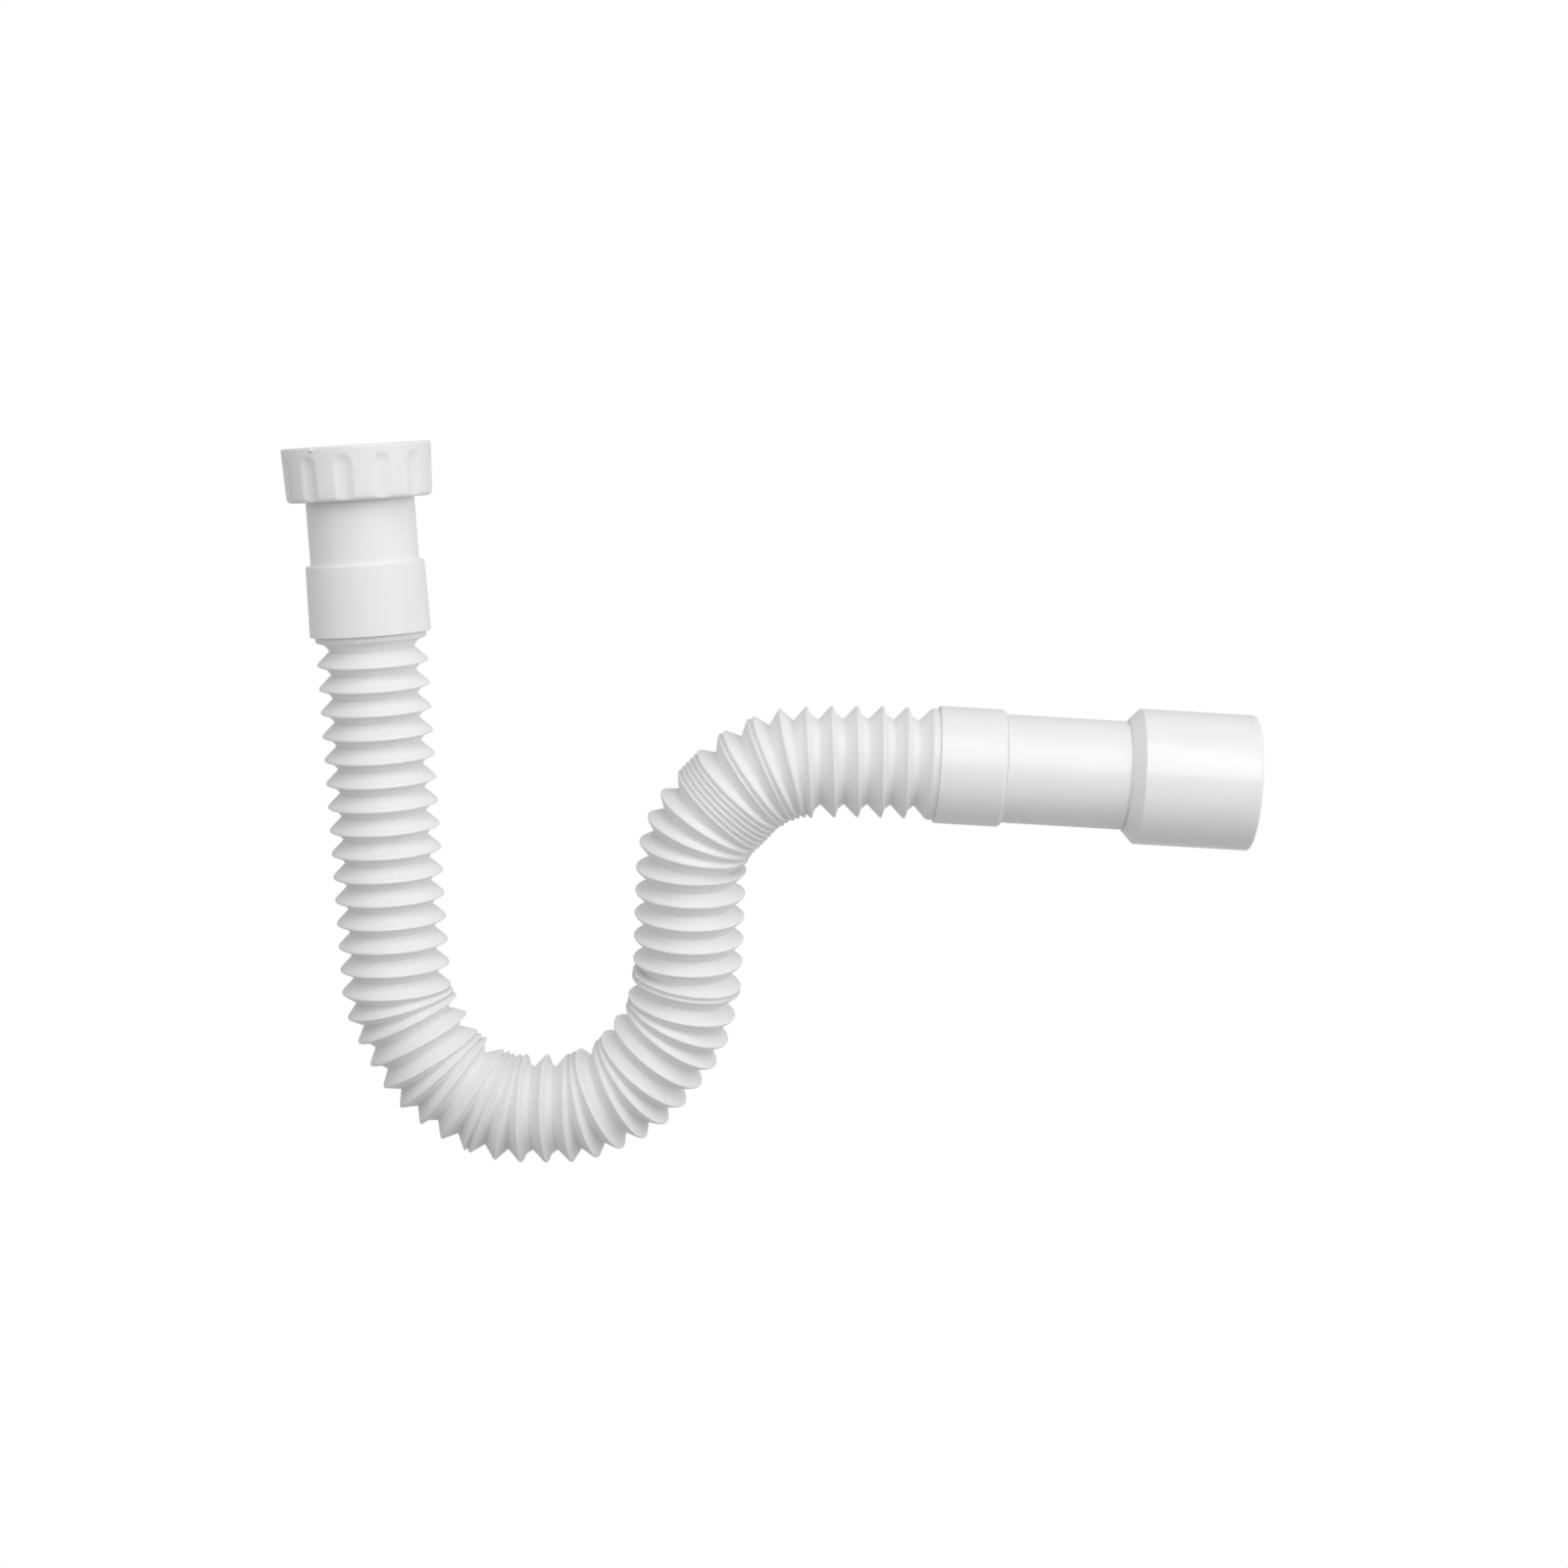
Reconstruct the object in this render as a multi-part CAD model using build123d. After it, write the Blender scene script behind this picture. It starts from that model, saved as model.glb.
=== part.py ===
from build123d import *
from math import atan2, degrees
import os

# Flexible corrugated waste trap, in millimetres, bent into its S route.
# The origin is the centre of the nut's mouth. +Z runs up the inlet and +X runs towards the outlet.

# Coupling nut for a G 1 1/2 waste
NUT_RADIUS = 27.5
NUT_FOOT_RADIUS = 26.7
NUT_HEIGHT = 20.0
NUT_LIP = 3.0
NUT_TOP_ROUND = 0.8
NUT_FOOT_ROUND = 1.8
THREAD_RADIUS = 22.4
THREAD_LENGTH = 11.0
RELIEF_RADIUS = 24.0
GRIP_COUNT = 12
GRIP_CUTTER_RADIUS = 9.0
GRIP_DEPTH = 0.9
GRIP_ROOF = 6.9

# Tubes and the play round the parts that turn in one another
TUBE_RADIUS = 20.0
TUBE_BORE = 17.5
PLAY = 0.3

# Inlet tail: flange, tube and the collar that holds the hose
FLANGE_RADIUS = 22.0
FLANGE_THICKNESS = 2.5
WASHER_THICKNESS = 3.0
WASHER_BORE = 17.0
COLLAR_TOP = -43.6
COLLAR_FOOT = -69.8
COLLAR_TOP_RADIUS = 21.9
COLLAR_FOOT_RADIUS = 22.4
COLLAR_ROUND = 0.4
SOCKET_FLOOR = 3.6

# Bellows: a long cone rises to each crest and a short cone falls from it, and the short one folds inside out
CREST_RADIUS = 20.5
VALLEY_RADIUS = 15.6
BORE_RADIUS = 14.3
CUFF_BORE = 19.0
CUFF_GAP = 0.2
CUFF_STEP = 2.0
MITRE_TURN = 3.0
LONG_FLANK = 5.2
FIRST_CREST = -71.7

# The hose hangs a little askew in the tail: degrees away from the viewer, and away from the outlet
HOSE_NOD = 2.5
HOSE_SWING = 0.85

# States that a fold can rest in: distance to the next crest, and turn in degrees
FOLD_STATES = {
    "O": (8.9, 0.0),  # open
    "B": (8.9, 2.5),  # open, in a bend
    "R": (8.9, 1.2),  # open, in the outlet run
    "H": (7.35, 7.6),  # half folded on one side
    "W": (6.15, 11.1),  # wedge, shut on one side
    "S": (2.05, 0.0),  # shut
}

# The route from the inlet: a letter for each fold, the side that it turns to, and a lean before it in degrees
INLET_LEG = ("O" * 15, 1, 0)
U_BEND_FALL = ("WWBBWWBWSWWB", 1, 0)
U_BEND_RISE = ("BWWBWWBBWWBSH", 1, 6.0)
RISING_LEG = ("O" * 4, 1, 0)
OUTLET_BEND = ("HWWWSSSSSWSWSWW", -1, 3.5)
OUTLET_RUN = ("R" * 5, -1, 0)
ROUTE = (INLET_LEG, U_BEND_FALL, U_BEND_RISE, RISING_LEG, OUTLET_BEND, OUTLET_RUN)

# Outlet adapter, in distances along its axis from the last crest
MOUTH = 2.2
OUTLET_COLLAR_END = 26.7
OUTLET_COLLAR_RADIUS = 21.6
OUTLET_COLLAR_ROUND = 1.4
NECK_RADIUS = 19.75
NECK_END = 29.4
OUTLET_TUBE_END = 71.3
GROOVE_RADIUS = 19.4
FLARE_START = 72.1
FLARE_ROOT_RADIUS = 20.6
FLARE_END = 76.3
SPIGOT_END = 118.9
SPIGOT_RADIUS = 25.0
SPIGOT_BORE = 22.8
SPIGOT_FLOOR = 3.0
SPIGOT_ROUND = 1.0

# Heights that follow from the sizes above
LIP_TOP = NUT_LIP - NUT_HEIGHT
FLANGE_FOOT = LIP_TOP
FLANGE_TOP = FLANGE_FOOT + FLANGE_THICKNESS
WASHER_TOP = FLANGE_TOP + WASHER_THICKNESS
SOCKET_RADIUS = CREST_RADIUS + CUFF_GAP
SOCKET_TOP = COLLAR_TOP - SOCKET_FLOOR
CUFF_LENGTH = SOCKET_TOP - CUFF_GAP - FIRST_CREST
OUTLET_SOCKET_END = CUFF_LENGTH + CUFF_GAP


def turned(*corners):
    """Solid of revolution about Z through (radius, height) corners."""
    outline = Polyline([(radius, 0, height) for radius, height in corners], close=True)
    return revolve(make_face(outline), Axis.Z)


def rims(solid, radius, height):
    """Circular edges of a turned solid at one radius and height."""
    circles = solid.edges().filter_by(GeomType.CIRCLE)
    return circles.filter_by(
        lambda edge: abs(edge.radius - radius) < 0.01 and abs(edge.center().Z - height) < 0.01
    )


def make_nut():
    """Nut with a threaded mouth, a relief for flange and washer, a lip under the flange and scooped grips."""
    hole = TUBE_RADIUS + PLAY
    nut = turned(
        (THREAD_RADIUS, 0),
        (NUT_RADIUS, 0),
        (NUT_FOOT_RADIUS, -NUT_HEIGHT),
        (hole, -NUT_HEIGHT),
        (hole, LIP_TOP),
        (RELIEF_RADIUS, LIP_TOP),
        (RELIEF_RADIUS, -THREAD_LENGTH),
        (THREAD_RADIUS, -THREAD_LENGTH),
    )
    nut = fillet(rims(nut, NUT_RADIUS, 0), NUT_TOP_ROUND)
    nut = fillet(rims(nut, NUT_FOOT_RADIUS, -NUT_HEIGHT), NUT_FOOT_ROUND)
    scoop = Sphere(GRIP_CUTTER_RADIUS) + Pos(Z=-NUT_HEIGHT / 2) * Cylinder(GRIP_CUTTER_RADIUS, NUT_HEIGHT)
    reach = NUT_RADIUS + GRIP_CUTTER_RADIUS - GRIP_DEPTH
    draft = degrees(atan2(NUT_RADIUS - NUT_FOOT_RADIUS, NUT_HEIGHT))
    lowered = Rot(Y=draft) * Pos(Z=-GRIP_ROOF) * scoop
    return nut - [spot * lowered for spot in PolarLocations(reach, GRIP_COUNT)]


def make_washer():
    """Flat rubber ring that the waste's end is drawn down on."""
    return turned(
        (WASHER_BORE, FLANGE_TOP),
        (FLANGE_RADIUS, FLANGE_TOP),
        (FLANGE_RADIUS, WASHER_TOP),
        (WASHER_BORE, WASHER_TOP),
    )


def make_tail():
    """Inlet tail: flange in the nut, tube, and a collar with a socket for the hose."""
    tail = turned(
        (TUBE_BORE, FLANGE_TOP),
        (FLANGE_RADIUS, FLANGE_TOP),
        (FLANGE_RADIUS, FLANGE_FOOT),
        (TUBE_RADIUS, FLANGE_FOOT),
        (TUBE_RADIUS, COLLAR_TOP),
        (COLLAR_TOP_RADIUS, COLLAR_TOP),
        (COLLAR_FOOT_RADIUS, COLLAR_FOOT),
        (SOCKET_RADIUS, COLLAR_FOOT),
        (SOCKET_RADIUS, SOCKET_TOP),
        (TUBE_BORE, SOCKET_TOP),
    )
    tail = fillet(rims(tail, COLLAR_TOP_RADIUS, COLLAR_TOP), COLLAR_ROUND)
    return fillet(rims(tail, COLLAR_FOOT_RADIUS, COLLAR_FOOT), COLLAR_ROUND)


def lay_folds():
    """Walk the route fold by fold.

    Returns the outer rings and the bore's rings as (plane, radius), and the plane of the last crest.
    Each plane faces along the hose, and its X axis is the axis that the hose bends about.
    """
    crest = Plane(origin=(0, 0, FIRST_CREST), x_dir=(0, -1, 0), z_dir=(0, 0, -1))
    inlet_end = crest * Pos(Z=-CUFF_LENGTH)
    outer = [(inlet_end, CREST_RADIUS), (crest, CREST_RADIUS)]
    bore = [(inlet_end, CUFF_BORE), (crest * Pos(Z=-CUFF_STEP), CUFF_BORE)]
    crest = crest * Rot(Y=-HOSE_NOD) * Rot(X=-HOSE_SWING)
    first_pitch, _ = FOLD_STATES["O"]
    bore.append((crest * Pos(Z=first_pitch - LONG_FLANK), BORE_RADIUS))
    for letters, side, lean in ROUTE:
        crest = crest * Rot(Z=lean)
        for letter in letters:
            pitch, turn = FOLD_STATES[letter]
            half_turn = Rot(X=side * turn / 2)
            half_step = Pos(Z=(pitch - LONG_FLANK) / 2)
            middle = crest * half_turn * half_step
            valley = middle * half_step * half_turn
            crest = valley * Pos(Z=LONG_FLANK)
            outer += [(valley, VALLEY_RADIUS), (crest, CREST_RADIUS)]
            if turn > MITRE_TURN:
                bore.append((middle, BORE_RADIUS))
    outlet_end = crest * Pos(Z=CUFF_LENGTH)
    bore.append((valley, BORE_RADIUS))
    bore += [(crest * Pos(Z=CUFF_STEP), CUFF_BORE), (outlet_end, CUFF_BORE)]
    outer.append((outlet_end, CREST_RADIUS))
    return outer, bore, crest


def through(rings):
    """Solid of straight cones through rings given as (plane, radius)."""
    return loft([plane * Circle(radius) for plane, radius in rings], ruled=True)


def make_hose(outer, bore):
    """Bellows between two plain cuffs, open from end to end."""
    return through(outer) - through(bore)


def make_outlet(crest):
    """Outlet adapter: collar on the hose, tube, and a grooved flare to a wider spigot with an open end."""
    adapter = turned(
        (SOCKET_RADIUS, MOUTH),
        (OUTLET_COLLAR_RADIUS, MOUTH),
        (OUTLET_COLLAR_RADIUS, OUTLET_COLLAR_END),
        (NECK_RADIUS, OUTLET_COLLAR_END),
        (TUBE_RADIUS, NECK_END),
        (TUBE_RADIUS, OUTLET_TUBE_END),
        (GROOVE_RADIUS, OUTLET_TUBE_END),
        (GROOVE_RADIUS, FLARE_START),
        (FLARE_ROOT_RADIUS, FLARE_START),
        (SPIGOT_RADIUS, FLARE_END),
        (SPIGOT_RADIUS, SPIGOT_END),
        (SPIGOT_BORE, SPIGOT_END),
        (SPIGOT_BORE, FLARE_END + SPIGOT_FLOOR),
        (TUBE_BORE, FLARE_START),
        (TUBE_BORE, OUTLET_SOCKET_END),
        (SOCKET_RADIUS, OUTLET_SOCKET_END),
    )
    adapter = fillet(rims(adapter, OUTLET_COLLAR_RADIUS, OUTLET_COLLAR_END), OUTLET_COLLAR_ROUND)
    adapter = fillet(rims(adapter, SPIGOT_RADIUS, SPIGOT_END), SPIGOT_ROUND)
    return crest * adapter


def main():
    outer, bore, last_crest = lay_folds()
    pieces = {
        "coupling_nut": make_nut(),
        "sealing_washer": make_washer(),
        "inlet_tail": make_tail(),
        "corrugated_hose": make_hose(outer, bore),
        "outlet_adapter": make_outlet(last_crest),
    }
    os.makedirs("parts", exist_ok=True)
    for name, piece in pieces.items():
        export_step(piece, f"parts/{name}.step")
        print(name, round(piece.volume), "mm3")
    print("last crest", last_crest)


main()
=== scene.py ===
"""Visual model of a flexible waste trap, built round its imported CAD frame.

The frame's origin is the centre of the coupling nut's mouth, +Z runs up the inlet and +X towards the outlet.
Sizes of the pieces are millimetres and degrees, as in the CAD source. Meshes and the studio are in metres.
"""

import logging
import math
from collections.abc import Sequence
from dataclasses import dataclass, field
from enum import Enum

import bmesh
import bpy
from mathutils import Matrix, Vector


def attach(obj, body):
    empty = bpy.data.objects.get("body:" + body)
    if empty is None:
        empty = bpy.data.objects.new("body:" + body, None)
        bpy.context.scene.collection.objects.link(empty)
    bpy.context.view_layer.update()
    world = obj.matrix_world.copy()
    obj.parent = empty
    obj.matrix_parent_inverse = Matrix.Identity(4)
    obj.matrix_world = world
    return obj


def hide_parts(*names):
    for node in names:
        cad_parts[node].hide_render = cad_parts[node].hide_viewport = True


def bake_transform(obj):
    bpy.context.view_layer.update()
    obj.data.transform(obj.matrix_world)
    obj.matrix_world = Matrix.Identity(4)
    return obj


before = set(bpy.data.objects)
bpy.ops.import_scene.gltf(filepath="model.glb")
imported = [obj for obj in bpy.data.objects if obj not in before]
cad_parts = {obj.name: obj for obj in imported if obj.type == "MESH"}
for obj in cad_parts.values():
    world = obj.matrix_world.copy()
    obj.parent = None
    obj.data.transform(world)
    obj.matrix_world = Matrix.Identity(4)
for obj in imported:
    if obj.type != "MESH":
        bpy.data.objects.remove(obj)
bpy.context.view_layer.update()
MM = 0.001
WHITE = (1.0, 1.0, 1.0, 1.0)
LOG = logging.getLogger("waste_trap")
Socket = bpy.types.NodeSocket
Colour = tuple[float, float, float]

# Sizes that several pieces share

TUBE_RADIUS = 20.0
TUBE_BORE = 17.5
FLANGE_RADIUS = 22.0
FLANGE_FOOT = -17.0
FLANGE_TOP = -14.5
FIRST_CREST = -71.7
CREST_RADIUS = 20.5
CUFF_LENGTH = 24.3
CUFF_GAP = 0.2
SOCKET_RADIUS = CREST_RADIUS + CUFF_GAP
SOCKET_REACH = CUFF_LENGTH + CUFF_GAP


# Places along a path

def slide(distance: float) -> Matrix:
    """Step along a place's own Z axis, in mm."""
    return Matrix.Translation((0.0, 0.0, distance))


def swing(degrees: float) -> Matrix:
    """Turn about a place's own X axis."""
    return Matrix.Rotation(math.radians(degrees), 4, "X")


def nod(degrees: float) -> Matrix:
    """Turn about a place's own Y axis."""
    return Matrix.Rotation(math.radians(degrees), 4, "Y")


def spin(degrees: float) -> Matrix:
    """Turn about a place's own Z axis."""
    return Matrix.Rotation(math.radians(degrees), 4, "Z")


# Node trees

class Tree:
    """A node tree under construction, with short calls for its nodes and links."""

    def __init__(self, tree: bpy.types.NodeTree) -> None:
        """Hold the tree that the calls below add to."""
        self.tree = tree

    def feed(self, socket: Socket, value: object) -> None:
        """Link an input, or set its own value.

        Args:
            socket: The input.
            value: The socket to link it to, or a constant.
        """
        if isinstance(value, Socket):
            self.tree.links.new(value, socket)
        else:
            socket.default_value = value

    def add(
        self, kind: str, inputs: dict[str | int, object] | None = None, **settings: object
    ) -> bpy.types.Node:
        """Add a node.

        Args:
            kind: Blender's identifier of the node.
            inputs: Values or sockets for its inputs, by name or place.
            settings: Properties of the node itself.

        Returns:
            The new node.
        """
        node = self.tree.nodes.new(kind)
        for name, value in settings.items():
            setattr(node, name, value)
        for key, value in (inputs or {}).items():
            self.feed(node.inputs[key], value)
        return node

    def math(self, operation: str, *values: object) -> Socket:
        """Add a Math node on these values and return its result."""
        return self.add("ShaderNodeMath", dict(enumerate(values)), operation=operation).outputs[0]

    def ramp(self, value: Socket, low: float, high: float, start: float = 0.0, end: float = 1.0) -> Socket:
        """Map a value smoothly.

        Args:
            value: The value to map.
            low: Value that gives start.
            high: Value that gives end.
            start: Result at low and beyond it.
            end: Result at high and beyond it.

        Returns:
            The mapped value.
        """
        sockets = {"Value": value, "From Min": low, "From Max": high, "To Min": start, "To Max": end}
        return self.add("ShaderNodeMapRange", sockets, interpolation_type="SMOOTHSTEP").outputs["Result"]


def emptied(owner: bpy.types.Material | bpy.types.World) -> Tree:
    """Switch the nodes of a material or world on and take the default ones away.

    Args:
        owner: The material or world.

    Returns:
        Its tree, without nodes.
    """
    owner.use_nodes = True
    owner.node_tree.nodes.clear()
    return Tree(owner.node_tree)


class Recipe(Tree):
    """A Geometry Nodes tree with named inputs, which ends in Realize Instances and Set Material."""

    def __init__(self, name: str) -> None:
        """Start a tree with geometry in and out.

        Args:
            name: The tree's name.
        """
        super().__init__(bpy.data.node_groups.new(name, "GeometryNodeTree"))
        self.tree.interface.new_socket("Geometry", in_out="OUTPUT", socket_type="NodeSocketGeometry")
        self.entry = self.tree.nodes.new("NodeGroupInput")
        self.geometry = self.input("Geometry", "NodeSocketGeometry")

    def input(self, name: str, kind: str = "NodeSocketFloat") -> Socket:
        """Add a named input and return the socket that carries it."""
        self.tree.interface.new_socket(name, in_out="INPUT", socket_type=kind)
        return self.entry.outputs[name]

    def whole(self, operation: str, *values: object) -> Socket:
        """Add an Integer Math node on these values and return its result."""
        return self.add("FunctionNodeIntegerMath", dict(enumerate(values)), operation=operation).outputs[0]

    def vector(self, operation: str, *values: object) -> Socket:
        """Add a Vector Math node on these values and return its vector."""
        node = self.add("ShaderNodeVectorMath", dict(enumerate(values)), operation=operation)
        return node.outputs["Vector"]

    def scaled(self, vector: Socket, factor: object) -> Socket:
        """Return a vector times a number."""
        sockets = {"Vector": vector, "Scale": factor}
        return self.add("ShaderNodeVectorMath", sockets, operation="SCALE").outputs["Vector"]

    def length(self, vector: Socket) -> Socket:
        """Return a vector's length."""
        return self.add("ShaderNodeVectorMath", {0: vector}, operation="LENGTH").outputs["Value"]

    def position(self) -> Socket:
        """Read the position of the points at hand."""
        return self.add("GeometryNodeInputPosition").outputs["Position"]

    def close(self, geometry: Socket) -> None:
        """Shade the result smooth, realize it, give it its material and end the tree.

        Args:
            geometry: The result.
        """
        smooth = self.add("GeometryNodeSetShadeSmooth", {"Geometry": geometry})
        real = self.add("GeometryNodeRealizeInstances", {"Geometry": smooth.outputs[0]})
        material = self.input("Material", "NodeSocketMaterial")
        dressed = self.add("GeometryNodeSetMaterial", {"Geometry": real.outputs[0], "Material": material})
        self.add("NodeGroupOutput", {"Geometry": dressed.outputs[0]})

    def apply(self, piece: bpy.types.Object, values: dict[str, object]) -> None:
        """Run the tree on a piece and keep the result as the piece's own plain mesh.

        Args:
            piece: The object to work on.
            values: The tree's inputs by name.
        """
        modifier = piece.modifiers.new(self.tree.name, "NODES")
        modifier.node_group = self.tree
        for item in self.tree.interface.items_tree:
            if item.in_out == "INPUT" and item.name in values:
                modifier[item.identifier] = values[item.name]
        graph = bpy.context.evaluated_depsgraph_get()
        made = bpy.data.meshes.new_from_object(
            piece.evaluated_get(graph), preserve_all_data_layers=True, depsgraph=graph
        )
        made.materials.clear()
        made.materials.append(values["Material"])
        piece.modifiers.remove(modifier)
        spent = piece.data
        piece.data = made
        bpy.data.meshes.remove(spent)


class RingSkin(Recipe):
    """Skin through a chain of rings, given as points with side, front, radius and rise attributes.

    The chain runs along the outside and back along the inside to its first ring, so the skin is closed.
    """

    MERGE_DISTANCE = 0.001 * MM

    def __init__(self) -> None:
        """Build the tree."""
        super().__init__("ring_skin")
        segments = self.input("Segments", "NodeSocketInt")
        seam_turn = self.input("Seam Turn")
        domain = self.add("GeometryNodeAttributeDomainSize", {"Geometry": self.geometry})
        rows = self.whole("SUBTRACT", domain.outputs["Point Count"], 1)
        sizes = {"Vertices": segments, "Side Segments": rows}
        drum = self.add("GeometryNodeMeshCylinder", sizes, fill_type="NONE")
        index = self.add("GeometryNodeInputIndex").outputs["Index"]
        self.ring = self.whole("DIVIDE_FLOOR", index, segments)
        spoke = self.whole("MODULO", index, segments)
        angle = self.math("DIVIDE", self.math("MULTIPLY", spoke, math.tau), segments)
        centre = self.of_ring(self.position(), "FLOAT_VECTOR")
        radius = self.noted("radius", "FLOAT")
        rise = self.noted("rise", "FLOAT")
        to_side = self.scaled(self.noted("side", "FLOAT_VECTOR"), self.math("COSINE", angle))
        to_front = self.scaled(self.noted("front", "FLOAT_VECTOR"), self.math("SINE", angle))
        reach = self.scaled(self.vector("ADD", to_side, to_front), radius)
        seam_sine = self.math("SINE", self.math("SUBTRACT", angle, seam_turn))
        skin = self.store(drum.outputs["Mesh"], "rise", rise)
        skin = self.store(skin, "seam_gap", self.math("MULTIPLY", radius, seam_sine))
        spot = {"Geometry": skin, "Position": self.vector("ADD", centre, reach)}
        skin = self.add("GeometryNodeSetPosition", spot).outputs[0]
        merge = {"Geometry": skin, "Distance": self.MERGE_DISTANCE}
        self.close(self.add("GeometryNodeMergeByDistance", merge).outputs[0])

    def of_ring(self, value: Socket, kind: str) -> Socket:
        """Look a value up on the ring that a point of the skin belongs to."""
        sockets = {"Geometry": self.geometry, "Value": value, "Index": self.ring}
        return self.add("GeometryNodeSampleIndex", sockets, data_type=kind).outputs[0]

    def noted(self, name: str, kind: str) -> Socket:
        """Look a ring's named attribute up from a point of the skin."""
        node = self.add("GeometryNodeInputNamedAttribute", {"Name": name}, data_type=kind)
        return self.of_ring(node.outputs["Attribute"], kind)

    def store(self, geometry: Socket, name: str, value: Socket) -> Socket:
        """Keep a number on the skin's points for its material.

        Args:
            geometry: The skin.
            name: The attribute's name.
            value: The number.

        Returns:
            The skin with the attribute.
        """
        sockets = {"Geometry": geometry, "Name": name, "Value": value}
        node = self.add("GeometryNodeStoreNamedAttribute", sockets, data_type="FLOAT", domain="POINT")
        return node.outputs[0]


class Polar(Recipe):
    """A tree that moves points of a turned piece towards or away from the frame's Z axis."""

    def __init__(self, name: str) -> None:
        """Start the tree and split its points' places into radius, angle and height.

        Args:
            name: The tree's name.
        """
        super().__init__(name)
        place = self.position()
        flat = self.vector("MULTIPLY", place, (1.0, 1.0, 0.0))
        axes = self.add("ShaderNodeSeparateXYZ", {"Vector": place}).outputs
        self.height = axes["Z"]
        self.angle = self.math("ARCTAN2", axes["Y"], axes["X"])
        self.radius = self.length(flat)
        self.outward = self.vector("NORMALIZE", flat)

    def close_moved(self, distance: Socket) -> None:
        """Move every point outward by this distance and end the tree."""
        sockets = {"Geometry": self.geometry, "Offset": self.scaled(self.outward, distance)}
        self.close(self.add("GeometryNodeSetPosition", sockets).outputs[0])


class GripScoops(Polar):
    """Scoops cut evenly round a nut by round-topped cutters that stand just outside it."""

    def __init__(self) -> None:
        """Build the tree."""
        super().__init__("grip_scoops")
        pitch = self.math("DIVIDE", math.tau, self.input("Count"))
        top_reach = self.input("Reach")
        draft = self.input("Draft")
        cutter = self.input("Cutter Radius")
        roof = self.input("Roof")
        softness = self.input("Softness")
        half = self.math("MULTIPLY", pitch, 0.5)
        offset = self.math("WRAP", self.angle, half, self.math("MULTIPLY", half, -1.0))
        reach = self.math("MULTIPLY_ADD", self.height, draft, top_reach)
        across = self.math("MULTIPLY", self.radius, self.math("SINE", offset))
        out = self.math("MULTIPLY", self.radius, self.math("COSINE", offset))
        towards = self.math("SUBTRACT", out, reach)
        above = self.math("MAXIMUM", self.math("SUBTRACT", self.height, roof), 0.0)
        gap = self.add("ShaderNodeCombineXYZ", {"X": across, "Y": towards, "Z": above}).outputs[0]
        depth = self.math("SUBTRACT", cutter, self.length(gap))
        cut = self.math("SMOOTH_MAX", depth, 0.0, softness)
        self.close_moved(self.math("MULTIPLY", cut, -1.0))


class FemaleThread(Polar):
    """Right-hand thread cut into a bore, which fades out at both of its ends.

    A flank runs from FLANK_CREST to FLANK_ROOT, as shares of the way from a ridge to the next groove.
    """

    FLANK_CREST = 0.12
    FLANK_ROOT = 0.88
    WALL_TOLERANCE = 0.1 * MM

    def __init__(self) -> None:
        """Build the tree."""
        super().__init__("female_thread")
        bore = self.input("Bore")
        pitch = self.input("Pitch")
        depth = self.input("Depth")
        start = self.input("Start")
        end = self.input("End")
        fade = self.input("Fade")
        turns = self.math("DIVIDE", self.angle, math.tau)
        phase = self.math("FRACT", self.math("SUBTRACT", self.math("DIVIDE", self.height, pitch), turns))
        groove = self.math("PINGPONG", self.math("MULTIPLY", phase, 2.0), 1.0)
        rounded = self.ramp(groove, self.FLANK_CREST, self.FLANK_ROOT)
        to_start = self.math("DIVIDE", self.math("SUBTRACT", start, self.height), fade)
        to_end = self.math("DIVIDE", self.math("SUBTRACT", self.height, end), fade)
        inside = self.ramp(self.math("MINIMUM", to_start, to_end), 0.0, 1.0)
        on_wall = self.math("COMPARE", self.radius, bore, self.WALL_TOLERANCE)
        shape = self.math("MULTIPLY", rounded, inside)
        self.close_moved(self.math("MULTIPLY", shape, self.math("MULTIPLY", on_wall, depth)))


# Rings and turned outlines

@dataclass(frozen=True)
class Ring:
    """One ring of a skin.

    Its place's Z axis runs along the piece and its X axis points at the ring's first point. Rise is a number
    for the material, from 0 to 1: how near to a crest the ring is, or whether it is polished.
    """

    place: Matrix
    radius: float
    rise: float = 0.0


@dataclass(frozen=True)
class Corner:
    """Corner of a turned outline: its place, the radius that rounds it, and the rows in the run after it."""

    radius: float
    height: float
    round: float = 0.2
    rows: int = 1


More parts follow.
